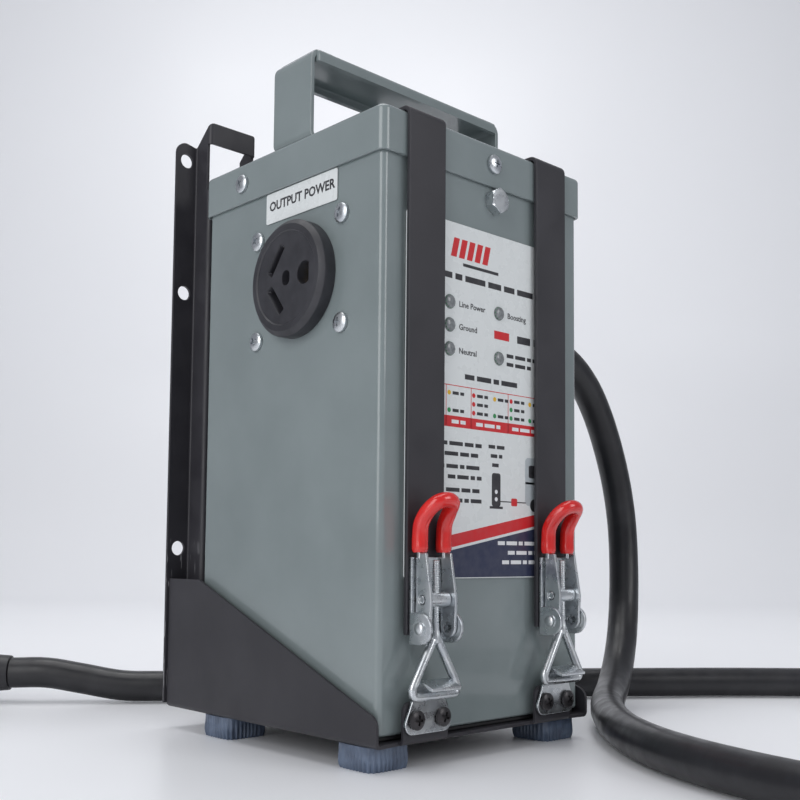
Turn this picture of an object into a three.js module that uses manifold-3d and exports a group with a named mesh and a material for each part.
// Portable surge protector and voltage booster for a 30 A caravan or RV supply, strapped into
// a steel wall cradle with two toggle latches.
// Millimetres, +Z up. X runs to the right for someone facing the label and Y runs to the wall.
// Everything is drawn about the middle of the enclosure's underside, and the whole group is
// then moved so that its origin is the middle of its footprint at floor level.
import * as THREE from 'three';
import { mergeVertices } from 'three/addons/utils/BufferGeometryUtils.js';
import Module from 'manifold-3d';

const wasm = await Module();
wasm.setup();

// ---------------------------------------------------------------- driving dimensions
const GAP = 0.3; // air left between pieces that touch

const BOX_WIDTH = 133.6;
const BOX_DEPTH = 132.2;
const BOX_HEIGHT = 266.7; // floor of the box to the top of the lid
const SHEET = 1.5; // enclosure steel
const BOX_CORNER = 3.0;
const LID_FLANGE = 20.2;

const HANDLE_REACH = 65.5; // middle of the box to a leg's outer face
const HANDLE_RISE = 43.8; // lid to the top of the grip bar
const HANDLE_SHEET = 2.4;
const HANDLE_LEG = 28.4;
const HANDLE_BAR = 31.2;
const HANDLE_LIP = 6.0;

const CRADLE_X = -1.2; // the box stands this far off the cradle's middle
const CRADLE_HALF = 70.0; // middle to a gusset's outer face
const STEEL = 1.6; // cradle sheet
const MAT = 1.6;
const WALL_Y = 92.1; // the wall that the cradle is screwed to
const CHANNEL_Y = 77.6; // front face of the cradle's two upright channels
const CHANNEL_OUT = 59.0; // cradle middle to a channel's outer web
const CHANNEL_IN = 29.5; // cradle middle to a channel's inner web
const FLANGE_HALF = 71.3;
const FLANGE_TOP = 293.3;
const EAR_TOP = 303.0;
const WINDOW_TOP = 291.7;
const TAB_FACE = -71.1; // outer face of the two front tabs

const STRAP_OFFSET = 42.5; // cradle middle to a strap's middle
const STRAP_WIDTH = 22.0;
const STRAP_STEEL = 2.0;
const STRAP_FACE = -70.3;
const STRAP_END = 41.5;

const PIVOT = { y: -76.8, z: 44.4 }; // lever pivot
const TRUNNION = { y: -76.2, z: 56.2 }; // bail pivot on the lever
const EAR_HALF = 9.9; // latch base, middle to outer face
const ARM_HALF = 8.1; // lever, middle to outer face
const LATCH_STEEL = 1.5;
const BAIL_WIRE = 3.8;
const BAIL_HALF = 12.8;
const BAIL_FOOT = 16.7; // height of the bar that the hook holds

const FOOT_SIZE = 24.0;
const FOOT_HEIGHT = 10.4;
const FOOT_X = 56.2;
const FOOT_Y = [-53.3, 48.5];

const OUTLET = { y: -8.9, z: 200.3 };
const OUTLET_FACE = 54.0; // diameter
const OUTLET_PROUD = 8.0;
const OUTLET_SCREWS = { y: 31.3, z: 24.4 };

const GLAND_Z = 198.0;
const GLAND_END = 97.0;
const CORD_DIAMETER = 17.8;
const FRONT_REACH = 86.1; // middle of the box to the front of the latch grips

// ---------------------------------------------------------------- worked out from them
const HALF_W = BOX_WIDTH / 2;
const HALF_D = BOX_DEPTH / 2;
const LID_HALF_W = HALF_W + GAP + SHEET;
const LID_HALF_D = HALF_D + GAP + SHEET;
const LID_EDGE = BOX_HEIGHT - LID_FLANGE;
const MAT_TOP = -GAP;
const TRAY_TOP = MAT_TOP - MAT - GAP;
const TRAY_BOTTOM = TRAY_TOP - STEEL;
const FLOOR = TRAY_BOTTOM - GAP - FOOT_HEIGHT;
const STRAP_UNDER = BOX_HEIGHT + 0.5;

// ---------------------------------------------------------------- solids
const V = (x, y, z) => new THREE.Vector3(x, y, z);

function solid(geometry) {
  const plain = geometry.index ? geometry.toNonIndexed() : geometry.clone();
  plain.deleteAttribute('normal');
  plain.deleteAttribute('uv');
  const merged = mergeVertices(plain, 1e-4);
  const vertProperties = new Float32Array(merged.attributes.position.array);
  const triVerts = new Uint32Array(merged.index.array);
  return new wasm.Manifold(new wasm.Mesh({ numProp: 3, vertProperties, triVerts }));
}

function geometryOf(manifold) {
  const mesh = manifold.getMesh();
  const geometry = new THREE.BufferGeometry();
  geometry.setAttribute('position', new THREE.BufferAttribute(mesh.vertProperties, 3));
  geometry.setIndex(new THREE.BufferAttribute(mesh.triVerts, 1));
  return geometry;
}

function join(...pieces) {
  return geometryOf(pieces.map(solid).reduce((whole, piece) => whole.add(piece)));
}

function cut(whole, ...tools) {
  return geometryOf(tools.map(solid).reduce((rest, tool) => rest.subtract(tool), solid(whole)));
}

// A box from its low and high faces.
function block(x0, x1, y0, y1, z0, z1) {
  const geometry = new THREE.BoxGeometry(x1 - x0, y1 - y0, z1 - z0);
  return geometry.translate((x0 + x1) / 2, (y0 + y1) / 2, (z0 + z1) / 2);
}

// A round bar from one point to another.
function bar(from, to, radius, sides = 16, endRadius = radius) {
  const along = to.clone().sub(from);
  const geometry = new THREE.CylinderGeometry(endRadius, radius, along.length(), sides);
  const turn = new THREE.Quaternion().setFromUnitVectors(V(0, 1, 0), along.normalize());
  const middle = from.clone().add(to).multiplyScalar(0.5);
  return geometry.applyQuaternion(turn).translate(middle.x, middle.y, middle.z);
}

function ball(at, radius, sides) {
  return new THREE.SphereGeometry(radius, sides, sides / 2).translate(at.x, at.y, at.z);
}

// An outline drawn in X and Z, thick from y0 to y1.
function plateXZ(shape, y0, y1, curveSegments = 6) {
  const geometry = new THREE.ExtrudeGeometry(shape, { depth: y1 - y0, bevelEnabled: false, curveSegments });
  return geometry.rotateX(Math.PI / 2).translate(0, y1, 0);
}

// An outline drawn in Y and Z, thick from x0 to x1.
function plateYZ(shape, x0, x1, curveSegments = 6) {
  const geometry = new THREE.ExtrudeGeometry(shape, { depth: x1 - x0, bevelEnabled: false, curveSegments });
  return geometry.rotateX(Math.PI / 2).rotateZ(Math.PI / 2).translate(x0, 0, 0);
}

// An outline drawn in X and Y, thick from z0 to z1.
function plateXY(shape, z0, z1, curveSegments = 6) {
  const geometry = new THREE.ExtrudeGeometry(shape, { depth: z1 - z0, bevelEnabled: false, curveSegments });
  return geometry.translate(0, 0, z0);
}

function polygon(points) {
  return new THREE.Shape(points.map(([a, b]) => new THREE.Vector2(a, b)));
}

function roundedRectangle(a0, a1, b0, b1, radius) {
  const shape = new THREE.Shape();
  const quarter = Math.PI / 2;
  shape.absarc(a1 - radius, b0 + radius, radius, -quarter, 0);
  shape.absarc(a1 - radius, b1 - radius, radius, 0, quarter);
  shape.absarc(a0 + radius, b1 - radius, radius, quarter, 2 * quarter);
  shape.absarc(a0 + radius, b0 + radius, radius, 2 * quarter, 3 * quarter);
  return shape;
}

// A profile of [radius, distance] pairs turned about an axis along +X.
function turnedX(profile, x, y, z, sides = 24) {
  const points = profile.map(([radius, distance]) => new THREE.Vector2(radius, distance));
  return new THREE.LatheGeometry(points, sides).rotateZ(-Math.PI / 2).translate(x, y, z);
}

// A round tube along a smooth curve through the points, with closed ends.
function tube(points, radius, sides, steps) {
  const section = new THREE.Shape();
  for (let i = 0; i < sides; i += 1) {
    const angle = (2 * Math.PI * i) / sides;
    const move = i === 0 ? 'moveTo' : 'lineTo';
    section[move](radius * Math.cos(angle), radius * Math.sin(angle));
  }
  const extrudePath = new THREE.CatmullRomCurve3(points, false, 'centripetal');
  return new THREE.ExtrudeGeometry(section, { steps, extrudePath, bevelEnabled: false });
}

// A pan head on a shank: at is the middle of the seat and out points away from the material.
function screw(at, out, headRadius, headHeight, shankRadius, shankLength) {
  const crown = at.clone().addScaledVector(out, headHeight);
  const shoulder = at.clone().addScaledVector(out, headHeight * 0.55);
  const tip = at.clone().addScaledVector(out, -shankLength);
  return join(
    bar(tip, shoulder, shankRadius, 8),
    bar(at, shoulder, headRadius, 12),
    bar(shoulder, crown, headRadius, 12, headRadius * 0.72),
  );
}

// ---------------------------------------------------------------- the assembly
const object = new THREE.Group();

function finish(color, roughness, metalness) {
  return new THREE.MeshStandardMaterial({ color, roughness, metalness });
}

const GREY_PAINT = finish('#828c8c', 0.3, 0.0);
const BLACK_POWDER = finish('#35333a', 0.55, 0.0);
const ZINC = finish('#c4c6c8', 0.3, 1.0);
const BLACK_SCREW = finish('#242327', 0.4, 0.6);
const BLACK_PLASTIC = finish('#26252a', 0.45, 0.0);
const RED_DIP = finish('#dc2824', 0.25, 0.0);
const BLUE_RUBBER = finish('#50648a', 0.4, 0.0);
const LABEL_WHITE = finish('#d0d2cf', 0.35, 0.0);
const BRASS = finish('#b8924a', 0.35, 1.0);
const CORE_STEEL = finish('#5a5f66', 0.5, 0.8);
const COPPER = finish('#8a4a24', 0.4, 0.6);
const BOARD_GREEN = finish('#2f6b45', 0.5, 0.0);
const BLUE_CASE = finish('#2d4a86', 0.4, 0.0);
const CORD_RUBBER = finish('#1c1c1f', 0.5, 0.0);

function add(name, geometry, material) {
  const mesh = new THREE.Mesh(geometry, material);
  mesh.name = name;
  object.add(mesh);
}

// ---- enclosure: a folded steel box, with a lid that laps over it
const LID_SCREWS = {
  front: { at: V(1.4, -LID_HALF_D - GAP, 257), out: V(0, -1, 0) },
  left: { at: V(-LID_HALF_W - GAP, 34.3, 256), out: V(-1, 0, 0) },
  right: { at: V(LID_HALF_W + GAP, -34.3, 256), out: V(1, 0, 0) },
  rear: { at: V(-2.7, LID_HALF_D + GAP, 257), out: V(0, 1, 0) },
};
const LID_SCREW_HOLE = 2.3;
const BOLT = { x: 3.5, z: 240.0, radius: 6.2, hole: 3.3 };
const LAMPS = [[-26.6, 187.6], [-26.6, 177.2], [-26.6, 166.4], [6.3, 187.4], [6.3, 166.2]];
const LAMP_RADIUS = 3.1;
const LAMP_HOLE = 3.5;
const outletScrews = [-1, 1].flatMap((sy) => [-1, 1].map((sz) => (
  { y: OUTLET.y + sy * OUTLET_SCREWS.y, z: OUTLET.z + sz * OUTLET_SCREWS.z })));

function hole(at, out, radius, sides = 12) {
  const reach = 12;
  return bar(at.clone().addScaledVector(out, -reach), at.clone().addScaledVector(out, reach), radius, sides);
}

const lidScrewHoles = Object.values(LID_SCREWS).map((s) => hole(s.at, s.out, LID_SCREW_HOLE, 12));
const lampHoles = LAMPS.map(([x, z]) => hole(V(x, -HALF_D, z), V(0, 1, 0), LAMP_HOLE, 12));
const outletScrewHoles = outletScrews.map(({ y, z }) => hole(V(-HALF_W, y, z), V(1, 0, 0), 2.4, 12));
const OUTLET_BARREL = 23.5;
const outletHole = hole(V(-HALF_W, OUTLET.y, OUTLET.z), V(1, 0, 0), OUTLET_BARREL + 0.5, 32);
const GLAND_NECK = 11.0;

const bodyTop = BOX_HEIGHT - SHEET - GAP;
const bodyOutside = roundedRectangle(-HALF_W, HALF_W, -HALF_D, HALF_D, BOX_CORNER);
const bodyInside = roundedRectangle(
  -HALF_W + SHEET, HALF_W - SHEET, -HALF_D + SHEET, HALF_D - SHEET, BOX_CORNER - SHEET);
add('enclosure_body', cut(
  plateXY(bodyOutside, 0, bodyTop, 4),
  plateXY(bodyInside, SHEET, bodyTop + 5, 4),
  outletHole,
  hole(V(HALF_W, 0, GLAND_Z), V(1, 0, 0), GLAND_NECK + 0.4, 24),
  hole(V(BOLT.x, -HALF_D, BOLT.z), V(0, 1, 0), BOLT.hole, 12),
  ...outletScrewHoles,
  ...lidScrewHoles,
  ...lampHoles,
), GREY_PAINT);

const lidOutside = roundedRectangle(-LID_HALF_W, LID_HALF_W, -LID_HALF_D, LID_HALF_D, BOX_CORNER + 1);
const lidInside = roundedRectangle(
  -LID_HALF_W + SHEET, LID_HALF_W - SHEET, -LID_HALF_D + SHEET, LID_HALF_D - SHEET, BOX_CORNER - 0.5);
add('lid', cut(
  plateXY(lidOutside, LID_EDGE, BOX_HEIGHT, 4),
  plateXY(lidInside, LID_EDGE - 5, BOX_HEIGHT - SHEET, 4),
  ...lidScrewHoles,
), GREY_PAINT);

for (const [side, { at, out }] of Object.entries(LID_SCREWS)) {
  add(`lid_screw_${side}`, screw(at, out, 4.4, 2.4, 2.0, 9), ZINC);
}

// ---- carrying handle: one folded strip, with a grip bar whose edges turn down
const handleFoot = BOX_HEIGHT + GAP;
const handleTop = BOX_HEIGHT + HANDLE_RISE;
const halfLeg = HANDLE_LEG / 2;
const halfBar = HANDLE_BAR / 2;
const legInside = HANDLE_REACH - HANDLE_SHEET;
const lipBottom = handleTop - HANDLE_LIP;
const HANDLE_FLANGE = 55.4; // middle of the box to the inner edge of a foot flange
const handlePieces = [
  block(-HANDLE_REACH, HANDLE_REACH, -halfBar, halfBar, handleTop - HANDLE_SHEET, handleTop),
];
for (const side of [-1, 1]) {
  const legX = [side * legInside, side * HANDLE_REACH].sort((a, b) => a - b);
  const footX = [side * HANDLE_FLANGE, side * HANDLE_REACH].sort((a, b) => a - b);
  const lipY = [side * (halfBar - HANDLE_SHEET), side * halfBar].sort((a, b) => a - b);
  handlePieces.push(block(...legX, -halfLeg, halfLeg, handleFoot, handleTop));
  handlePieces.push(block(...footX, -halfLeg, halfLeg, handleFoot, handleFoot + HANDLE_SHEET));
  handlePieces.push(block(-legInside + 1, legInside - 1, ...lipY, lipBottom, handleTop));
}
add('handle', join(...handlePieces), GREY_PAINT);

// ---- printed labels, the earth bolt and the lamp board behind the front wall
const labelBack = -HALF_D - GAP;
const LABEL = { x: 53.2, low: 64.6, high: 224.2, thick: 0.6 };
add('front_label', cut(
  block(-LABEL.x, LABEL.x, labelBack - LABEL.thick, labelBack, LABEL.low, LABEL.high),
  ...lampHoles,
), LABEL_WHITE);
add('output_label', block(
  -HALF_W - GAP - 0.3, -HALF_W - GAP, -36.8, 16.0, 231.6, LID_EDGE - GAP,
), LABEL_WHITE);

const boltSeat = -HALF_D - GAP;
const BOLT_HEAD = 4.6;
add('earth_bolt', join(
  bar(V(BOLT.x, boltSeat, BOLT.z), V(BOLT.x, boltSeat - BOLT_HEAD, BOLT.z), BOLT.radius, 6),
  bar(V(BOLT.x, boltSeat + 12, BOLT.z), V(BOLT.x, boltSeat - 1, BOLT.z), 2.9, 12),
), ZINC);

const boardFront = -HALF_D + SHEET + 6;
const lampTip = labelBack - LABEL.thick - 0.8;
add('indicator_board', join(
  block(-38, 18, boardFront, boardFront + 1.6, 156, 198),
  ...LAMPS.map(([x, z]) => bar(V(x, boardFront + 0.5, z), V(x, lampTip, z), LAMP_RADIUS, 12)),
), BOARD_GREEN);

// ---- inside: the booster transformer, its relay and the surge module
add('transformer_mount', block(-50, 50, -45, 45, SHEET + GAP, SHEET + GAP + 2), ZINC);
const coreFoot = SHEET + 2 * GAP + 2;
const CORE = { x: 48, y: 20, high: 82, limb: 16, yoke: 15 };
const coreWindow = (side) => block(
  ...[side * CORE.limb, side * (CORE.x - CORE.limb / 2 - 4)].sort((a, b) => a - b),
  -CORE.y - 5, CORE.y + 5, coreFoot + CORE.yoke, coreFoot + CORE.high - CORE.yoke);
add('transformer_core', cut(
  block(-CORE.x, CORE.x, -CORE.y, CORE.y, coreFoot, coreFoot + CORE.high), coreWindow(-1), coreWindow(1),
), CORE_STEEL);
const coil = { x: CORE.x - CORE.limb / 2 - 4.5, y: CORE.y + 18 };
add('transformer_winding', cut(
  plateXY(roundedRectangle(-coil.x, coil.x, -coil.y, coil.y, 8),
    coreFoot + CORE.yoke + GAP, coreFoot + CORE.high - CORE.yoke - GAP),
  block(-CORE.limb - GAP, CORE.limb + GAP, -CORE.y - GAP, CORE.y + GAP, 0, 120),
), COPPER);
add('surge_module', block(-30, 30, HALF_D - SHEET - 32, HALF_D - SHEET - GAP, 110, 165), BLUE_CASE);
add('relay', block(20, 52, -20, 20, 110, 142), BLACK_PLASTIC);

// ---- 30 A outlet: two blades set at an angle and a round earth hole
const outletSeat = -HALF_W - GAP;
const outletFront = -HALF_W - OUTLET_PROUD;
const SLOT = { long: 14.2, wide: 2.6, tilt: THREE.MathUtils.degToRad(38), y: 7.6, z: 9.2 };
const CHAMBER = { long: 17, wide: 7.2 };
const EARTH = { y: -13.5, radius: 5.0 };

// A slot along X in the outlet's face, centred at its place and tilted to side (-1 or 1).
function outletSlot(side, long, wide, x0, x1) {
  return block(x0, x1, -wide / 2, wide / 2, -long / 2, long / 2)
    .rotateX(side * -SLOT.tilt)
    .translate(0, OUTLET.y + SLOT.y, OUTLET.z + side * SLOT.z);
}

const rim = OUTLET_FACE / 2;
const outletProfile = [
  [0, outletFront], [rim - 1.6, outletFront], [rim, outletFront + 1.6], [rim, outletSeat],
  [OUTLET_BARREL, outletSeat], [OUTLET_BARREL, outletSeat + 32], [0, outletSeat + 32],
];
const chamberStart = outletFront + 5;
const chamberEnd = outletSeat + 26;
const earthAt = V(0, OUTLET.y + EARTH.y, OUTLET.z);
add('outlet_body', cut(
  turnedX(outletProfile, 0, OUTLET.y, OUTLET.z, 36),
  ...[-1, 1].map((side) => outletSlot(side, SLOT.long, SLOT.wide, outletFront - 5, chamberEnd)),
  ...[-1, 1].map((side) => outletSlot(side, CHAMBER.long, CHAMBER.wide, chamberStart, chamberEnd)),
  bar(earthAt.clone().setX(outletFront - 5), earthAt.clone().setX(chamberEnd), EARTH.radius, 20),
  bar(V(outletFront - 5, OUTLET.y, OUTLET.z), V(outletFront + 1.2, OUTLET.y, OUTLET.z), 3.0, 16),
), BLACK_PLASTIC);

const LEAF = 0.8;
for (const [name, side] of [['hot', 1], ['neutral', -1]]) {
  add(`outlet_contact_${name}`, cut(
    outletSlot(side, 15, 2.0 + 2 * LEAF, chamberStart + 2, chamberEnd - GAP),
    outletSlot(side, 16, 2.0, chamberStart - 1, chamberEnd - 2),
  ), BRASS);
}
add('outlet_contact_earth', cut(
  bar(earthAt.clone().setX(chamberStart + 2), earthAt.clone().setX(chamberEnd - GAP), EARTH.radius - GAP, 20),
  bar(earthAt.clone().setX(chamberStart - 1), earthAt.clone().setX(chamberEnd - 2), 3.7, 20),
), BRASS);

const yokeBack = -HALF_W + SHEET + GAP;
add('outlet_yoke', cut(
  block(yokeBack, yokeBack + 1.6, OUTLET.y - 37, OUTLET.y + 37, OUTLET.z - 30, OUTLET.z + 30),
  outletHole,
  ...outletScrewHoles,
), ZINC);
outletScrews.forEach(({ y, z }, i) => {
  add(`outlet_screw_${i + 1}`, screw(V(-HALF_W - GAP, y, z), V(-1, 0, 0), 4.4, 2.4, 2.0, 7), ZINC);
});

// ---- input cord: its gland in the right wall, its route and the 30 A plug on its far end
const glandSeat = HALF_W + GAP;
const cordRadius = CORD_DIAMETER / 2;
const glandProfile = [
  [0, HALF_W - 8], [GLAND_NECK, HALF_W - 8], [GLAND_NECK, glandSeat], [16.5, glandSeat],
  [16.5, glandSeat + 4], [13.5, glandSeat + 5], [cordRadius + 1.6, GLAND_END], [0, GLAND_END],
];
add('cable_gland', turnedX(glandProfile, 0, 0, GLAND_Z, 20), BLACK_PLASTIC);

const lie = FLOOR + cordRadius + 0.4; // height of the cord's middle where it lies on the floor
const CORD_ROUTE = [
  [GLAND_END + GAP, 0, GLAND_Z], [112, 0, GLAND_Z], [131, 0, 195.4], [149, 0, 188], [164, 0, 176],
  [176, 0, 160], [186, 0, 141], [193, -1, 119], [197, -2, 95], [196, -4, 70], [190, -8, 48],
  [178, -15, 28], [161, -24, 12], [140, -35, 1], [114, -50, lie + 1], [80, -77, lie], [49, -108, lie],
  [25, -143, lie], [9, -184, lie], [1, -230, lie], [3, -278, lie], [18, -322, lie], [50, -356, lie],
  [96, -368, lie], [144, -357, lie], [190, -328, lie], [234, -288, lie], [274, -242, lie],
  [307, -192, lie], [324, -138, lie], [314, -88, lie], [276, -47, lie], [208, 6, lie], [132, 61, lie],
  [54, 116, lie], [-24, 171.5, lie], [-44, 186.7, lie + 0.6], [-62, 201.1, lie + 4.6],
  [-78, 213.9, lie + 8], [-94, 226.7, lie + 8],
].map(([x, y, z]) => V(x, y, z));
add('input_cord', tube(CORD_ROUTE, cordRadius, 8, 48), CORD_RUBBER);

const cordEnd = CORD_ROUTE[CORD_ROUTE.length - 1];
const plugAxis = V(-0.78, 0.624, 0).normalize();
const plugTurn = Math.atan2(plugAxis.y, plugAxis.x);
const PLUG = { back: 30, body: 36, half: 22, face: 4 };

// Pieces of the plug are drawn along +X from the cord's end, then turned and moved there.
function onPlug(geometry) {
  return geometry.rotateZ(plugTurn).translate(cordEnd.x, cordEnd.y, cordEnd.z);
}

const plugFront = PLUG.back + PLUG.body + PLUG.face;
const plugRadius = cordEnd.z - FLOOR - 0.2;
add('plug_body', onPlug(turnedX([
  [0, GAP], [cordRadius + 1.2, GAP], [cordRadius + 3, PLUG.back - 8], [plugRadius - 1, PLUG.back],
  [plugRadius, PLUG.back + 4], [plugRadius, plugFront - 1.5], [plugRadius - 1.5, plugFront], [0, plugFront],
], 0, 0, 0, 24)), BLACK_PLASTIC);

const BLADE = { proud: 18, wide: 11.5, thick: 1.8, y: 5.2, z: 6.4 };
for (const [name, side] of [['hot', 1], ['neutral', -1]]) {
  add(`plug_blade_${name}`, onPlug(
    block(plugFront + GAP, plugFront + BLADE.proud, -BLADE.thick / 2, BLADE.thick / 2, -BLADE.wide / 2, BLADE.wide / 2)
      .rotateX(side * -SLOT.tilt)
      .translate(0, BLADE.y, side * BLADE.z),
  ), BRASS);
}
add('plug_earth_pin', onPlug(bar(
  V(plugFront + GAP, -9.5, 0), V(plugFront + 22, -9.5, 0), 2.9, 12,
)), BRASS);

// ---- wall cradle: a folded tray with side gussets and front tabs, on an upright of two channels
const trayRear = WALL_Y - STEEL - GAP;
const TAB = { x: 42.3, half: 13.1, top: 14.0, corner: 4 };
const GUSSET = { top: 61.4, shoulder: 61.4, toe: 10.0 };
const trayFront = TAB_FACE;
const FOLD = 0.4; // walls start this far in from the floor sheet's outer faces
const gussetShape = new THREE.Shape();
gussetShape.moveTo(trayFront, TRAY_BOTTOM + FOLD);
gussetShape.lineTo(trayRear - FOLD, TRAY_BOTTOM + FOLD);
gussetShape.lineTo(trayRear - FOLD, GUSSET.top);
gussetShape.lineTo(GUSSET.shoulder, GUSSET.top);
gussetShape.lineTo(trayFront + 6, GUSSET.toe);
gussetShape.quadraticCurveTo(trayFront, GUSSET.toe - 2.5, trayFront, GUSSET.toe - 8);
const trayHalf = CRADLE_HALF - STEEL / 2;
const trayPieces = [
  block(CRADLE_X - trayHalf, CRADLE_X + trayHalf, trayFront + STEEL / 2, trayRear, TRAY_BOTTOM, TRAY_TOP),
];
for (const side of [-1, 1]) {
  const gussetX = [side * (CRADLE_HALF - STEEL), side * CRADLE_HALF].sort((a, b) => a - b);
  trayPieces.push(plateYZ(gussetShape, CRADLE_X + gussetX[0], CRADLE_X + gussetX[1]));
  const tabX = CRADLE_X + side * TAB.x;
  const tab = new THREE.Shape();
  tab.moveTo(tabX - TAB.half, TRAY_BOTTOM + FOLD);
  tab.lineTo(tabX + TAB.half, TRAY_BOTTOM + FOLD);
  tab.absarc(tabX + TAB.half - TAB.corner, TAB.top - TAB.corner, TAB.corner, 0, Math.PI / 2);
  tab.absarc(tabX - TAB.half + TAB.corner, TAB.top - TAB.corner, TAB.corner, Math.PI / 2, Math.PI);
  trayPieces.push(plateXZ(tab, TAB_FACE, TAB_FACE + STEEL, 4));
}
const CATCH_SCREW = { x: 7.75, z: 6.7, hole: 2.3 };
const latchMiddles = { left: CRADLE_X - STRAP_OFFSET, right: CRADLE_X + STRAP_OFFSET };
const catchScrewHoles = Object.values(latchMiddles).flatMap((x) => [-1, 1].map((side) => (
  hole(V(x + side * CATCH_SCREW.x, TAB_FACE, CATCH_SCREW.z), V(0, 1, 0), CATCH_SCREW.hole, 12))));
add('cradle_tray', cut(join(...trayPieces), ...catchScrewHoles), BLACK_POWDER);

const uprightFoot = TRAY_TOP + GAP;
const PANEL_TOP = 250;
const WALL_HOLES = [77.0, 212.0, 283.6];
const wallFace = WALL_Y - STEEL;
const channelBack = CHANNEL_Y + STEEL;

// Right half of the upright's cross-section: middle panel, channel and wall flange.
const halfSection = [
  [CHANNEL_IN, wallFace], [CHANNEL_IN, CHANNEL_Y], [CHANNEL_OUT, CHANNEL_Y], [CHANNEL_OUT, wallFace],
  [FLANGE_HALF, wallFace], [FLANGE_HALF, WALL_Y], [CHANNEL_OUT - STEEL, WALL_Y],
  [CHANNEL_OUT - STEEL, channelBack], [CHANNEL_IN + STEEL, channelBack], [CHANNEL_IN + STEEL, WALL_Y],
];
const section = polygon([
  ...halfSection.map(([x, y]) => [CRADLE_X + x, y]),
  ...[...halfSection].reverse().map(([x, y]) => [CRADLE_X - x, y]),
]);
const above = EAR_TOP + 5;
const behind = WALL_Y + 5;
const uprightCuts = [
  block(CRADLE_X - CHANNEL_IN + 0.4, CRADLE_X + CHANNEL_IN - 0.4, CHANNEL_Y, behind, PANEL_TOP, above),
  block(CRADLE_X - FLANGE_HALF - 5, CRADLE_X + FLANGE_HALF + 5, channelBack + 0.4, behind, FLANGE_TOP, above),
];
for (const side of [-1, 1]) {
  const windowX = [CRADLE_X + side * (CHANNEL_IN + STEEL + 0.4), CRADLE_X + side * (CHANNEL_OUT - STEEL - 0.4)];
  uprightCuts.push(block(...windowX.sort((a, b) => a - b),
    CHANNEL_Y - 5, CHANNEL_Y + 5, BOX_HEIGHT - 0.2, WINDOW_TOP));
  const corner = V(CRADLE_X + side * (FLANGE_HALF + 2), WALL_Y, FLANGE_TOP + 2);
  uprightCuts.push(block(-6, 6, -5, 5, -6, 6).rotateY(Math.PI / 4).translate(corner.x, corner.y, corner.z));
  for (const z of WALL_HOLES) {
    uprightCuts.push(hole(V(CRADLE_X + side * (FLANGE_HALF - 6.3), WALL_Y, z), V(0, 1, 0), 3.75, 16));
  }
}
add('cradle_upright', cut(plateXY(section, uprightFoot, EAR_TOP), ...uprightCuts), BLACK_POWDER);

add('cushion_mat', block(-HALF_W + 2, HALF_W - 2, -HALF_D + 2, HALF_D - 2, MAT_TOP - MAT, MAT_TOP), BLACK_PLASTIC);

for (const [xName, side] of [['left', -1], ['right', 1]]) {
  for (const [yName, y] of [['front', FOOT_Y[0]], ['rear', FOOT_Y[1]]]) {
    const x = CRADLE_X + side * FOOT_X;
    const half = FOOT_SIZE / 2;
    add(`foot_${yName}_${xName}`,
      plateXY(roundedRectangle(x - half, x + half, y - half, y + half, 6), FLOOR, FLOOR + FOOT_HEIGHT, 4),
      BLUE_RUBBER);
  }
}

// ---- straps: steel strips hooked through the upright's windows, over the lid and down the front
const HOOK = { y: 81.5, tail: 15, lean: THREE.MathUtils.degToRad(20) };
const strapTop = STRAP_UNDER + STRAP_STEEL;
const strapBend = 3.2;
const tailY = HOOK.y + HOOK.tail * Math.sin(HOOK.lean);
const tailZ = STRAP_UNDER - HOOK.tail * Math.cos(HOOK.lean);
const strapShape = new THREE.Shape();
strapShape.moveTo(STRAP_FACE, STRAP_END);
strapShape.lineTo(STRAP_FACE + STRAP_STEEL, STRAP_END);
strapShape.lineTo(STRAP_FACE + STRAP_STEEL, STRAP_UNDER);
strapShape.lineTo(HOOK.y, STRAP_UNDER);
strapShape.lineTo(tailY, tailZ);
strapShape.lineTo(tailY + STRAP_STEEL, tailZ + 0.6);
strapShape.lineTo(HOOK.y + STRAP_STEEL, STRAP_UNDER + 0.4);
strapShape.quadraticCurveTo(HOOK.y + 1.4, strapTop, HOOK.y - 1, strapTop);
strapShape.lineTo(STRAP_FACE + strapBend, strapTop);
strapShape.absarc(STRAP_FACE + strapBend, strapTop - strapBend, strapBend, Math.PI / 2, Math.PI);
for (const [side, x] of Object.entries(latchMiddles)) {
  add(`strap_${side}`, plateYZ(strapShape, x - STRAP_WIDTH / 2, x + STRAP_WIDTH / 2, 4), BLACK_POWDER);
}

// ---- toggle latches: base on the strap, lever, wire bail on a screwed rod, hook on the tab
const baseBack = STRAP_FACE - GAP;
const baseFront = baseBack - LATCH_STEEL;
const earReach = 6.6;
const leverFoot = 4.2;
const HOOK_HALF = 8.6;

function latchBase(x) {
  const ear = new THREE.Shape();
  ear.moveTo(baseBack, PIVOT.z - earReach);
  ear.lineTo(baseBack, PIVOT.z + earReach);
  ear.lineTo(PIVOT.y, PIVOT.z + earReach);
  ear.absarc(PIVOT.y, PIVOT.z, earReach, Math.PI / 2, (3 * Math.PI) / 2);
  return cut(join(
    plateYZ(ear, x - EAR_HALF, x - EAR_HALF + LATCH_STEEL),
    plateYZ(ear, x + EAR_HALF - LATCH_STEEL, x + EAR_HALF),
    block(x - EAR_HALF, x + EAR_HALF, baseFront, baseBack, STRAP_END - 3, 74),
  ), bar(V(x - 20, PIVOT.y, PIVOT.z), V(x + 20, PIVOT.y, PIVOT.z), 2.4, 12));
}

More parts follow.
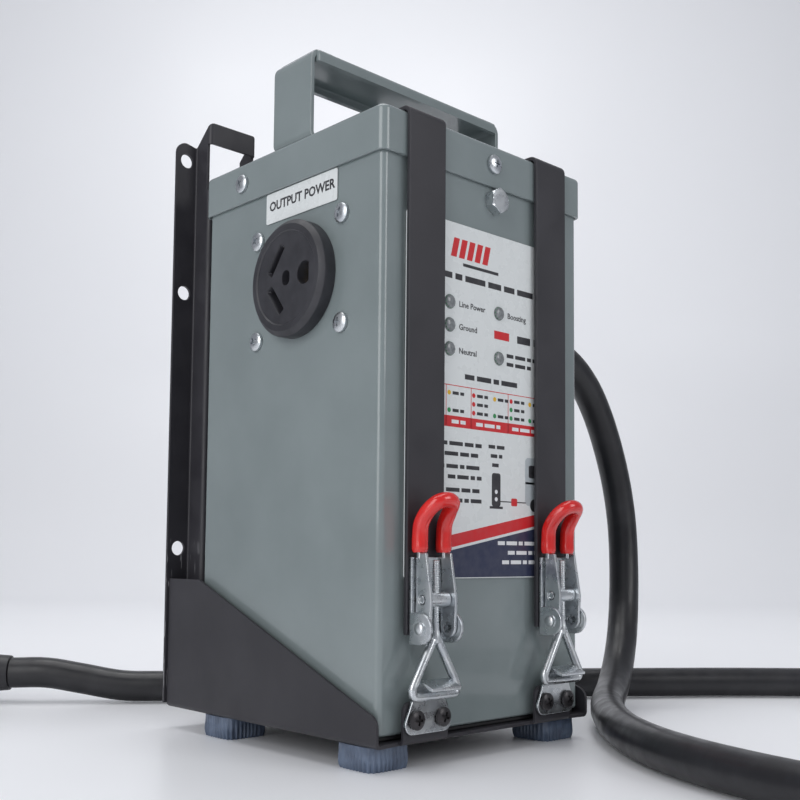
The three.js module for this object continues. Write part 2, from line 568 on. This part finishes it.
const GRIP_FOOT = 76.0;
const gripPath = (x) => [
  [-7.05, -73.9, GRIP_FOOT], [-7.05, -73.9, 82], [-7.0, -74.6, 88], [-6.3, -78.2, 93.6],
  [-4.2, -81.8, 97.0], [0, -83.0, 98.0], [4.2, -81.8, 97.0], [6.3, -78.2, 93.6], [7.0, -74.6, 88],
  [7.05, -73.9, 82], [7.05, -73.9, GRIP_FOOT],
].map(([dx, y, z]) => V(x + dx, y, z));

function gripCore(x, radius) {
  const path = gripPath(x);
  const drop = 2.5;
  path.unshift(path[0].clone().setZ(GRIP_FOOT - drop));
  path.push(path[path.length - 1].clone().setZ(GRIP_FOOT - drop));
  return tube(path, radius, 6, 16);
}

function latchLever(x) {
  const arm = new THREE.Shape();
  arm.moveTo(PIVOT.y + 4.2, PIVOT.z);
  arm.lineTo(PIVOT.y + 4.2, GRIP_FOOT - GAP);
  arm.lineTo(-78.2, GRIP_FOOT - GAP);
  arm.lineTo(-81.6, PIVOT.z + 11.5);
  arm.lineTo(PIVOT.y - leverFoot, PIVOT.z + 3);
  arm.absarc(PIVOT.y, PIVOT.z, leverFoot, Math.PI, 1.8 * Math.PI);
  return cut(join(
    plateYZ(arm, x - ARM_HALF, x - ARM_HALF + LATCH_STEEL),
    plateYZ(arm, x + ARM_HALF - LATCH_STEEL, x + ARM_HALF),
    gripCore(x, 1.5),
  ),
  bar(V(x - 20, PIVOT.y, PIVOT.z), V(x + 20, PIVOT.y, PIVOT.z), 2.4, 12),
  bar(V(x - 20, TRUNNION.y, TRUNNION.z), V(x + 20, TRUNNION.y, TRUNNION.z), 2.1, 12));
}

function latchTrunnion(x) {
  const at = (dx) => V(x + dx, TRUNNION.y, TRUNNION.z);
  const barrel = ARM_HALF - LATCH_STEEL - GAP;
  return cut(join(
    bar(at(-barrel), at(barrel), 3.3, 16),
    bar(at(-ARM_HALF - 0.4), at(ARM_HALF + 0.4), 1.8, 12),
  ), bar(V(x, TRUNNION.y, TRUNNION.z - 9), V(x, TRUNNION.y, TRUNNION.z + 9), 2.05, 12));
}

function latchBail(x) {
  const y = TRUNNION.y;
  const corner = [[9.4, BAIL_FOOT], [11.9, BAIL_FOOT + 1.6], [BAIL_HALF, BAIL_FOOT + 4.6]];
  const half = [[0, BAIL_FOOT], ...corner, [1.2, 39.5]];
  const wire = BAIL_WIRE / 2;
  const pieces = [bar(V(x, y, 36), V(x, y, 72.7), 1.75, 12)];
  for (const side of [-1, 1]) {
    for (let i = 0; i + 1 < half.length; i += 1) {
      const from = V(x + side * half[i][0], y, half[i][1]);
      const to = V(x + side * half[i + 1][0], y, half[i + 1][1]);
      pieces.push(bar(from, to, wire, 8));
      pieces.push(ball(to, wire, 6));
    }
  }
  return join(...pieces);
}

function latchCatch(x) {
  const back = TAB_FACE - GAP;
  const front = back - LATCH_STEEL;
  const plate = new THREE.Shape();
  plate.moveTo(x - 9.5, 0.6);
  plate.lineTo(x + 9.5, 0.6);
  plate.absarc(x + 9.2, 4.9, 4.3, -Math.PI / 2, 0.2);
  plate.lineTo(x + 9.5, 14.5);
  plate.lineTo(x - 9.5, 14.5);
  plate.absarc(x - 9.2, 4.9, 4.3, Math.PI - 0.2, 1.5 * Math.PI);
  const hook = polygon([
    [back, 12], [back, 20.6], [back - 1.2, 22.6], [back - 4.2, 23.2], [-83.6, 20.4], [-83.2, 19.0],
    [back - 4.6, 21.4], [front - 0.6, 20.6], [front, 19.4], [front, 12],
  ]);
  return cut(join(
    plateXZ(plate, front, back, 4),
    plateYZ(hook, x - HOOK_HALF, x + HOOK_HALF),
  ), ...catchScrewHoles);
}

for (const [side, x] of Object.entries(latchMiddles)) {
  add(`latch_base_${side}`, latchBase(x), ZINC);
  add(`latch_lever_${side}`, latchLever(x), ZINC);
  add(`latch_grip_${side}`, cut(tube(gripPath(x), 3.1, 8, 14), gripCore(x, 1.9)), RED_DIP);
  add(`latch_trunnion_${side}`, latchTrunnion(x), ZINC);
  add(`latch_bail_${side}`, latchBail(x), ZINC);
  add(`latch_catch_${side}`, latchCatch(x), ZINC);
  for (const [end, sign] of [['outer', -1], ['inner', 1]]) {
    const rivet = (dx) => V(x + sign * dx, PIVOT.y, PIVOT.z);
    add(`latch_rivet_${side}_${end}`, join(
      bar(rivet(5.9), rivet(EAR_HALF + 0.6), 2.0, 8),
      bar(rivet(EAR_HALF + GAP), rivet(EAR_HALF + 1.4), 3.0, 12),
    ), ZINC);
    const seat = V(x + sign * CATCH_SCREW.x, TAB_FACE - 2 * GAP - LATCH_STEEL, CATCH_SCREW.z);
    add(`catch_screw_${side}_${end}`, screw(seat, V(0, -1, 0), 4.1, 2.2, 2.0, 4.6), BLACK_SCREW);
  }
}

// The footprint's middle, without the cord and what is on it, at floor level.
const reachLeft = HALF_W + OUTLET_PROUD;
const reachRight = CRADLE_X + FLANGE_HALF;
object.position.set((reachLeft - reachRight) / 2, (FRONT_REACH - WALL_Y) / 2, -FLOOR);

export default object;
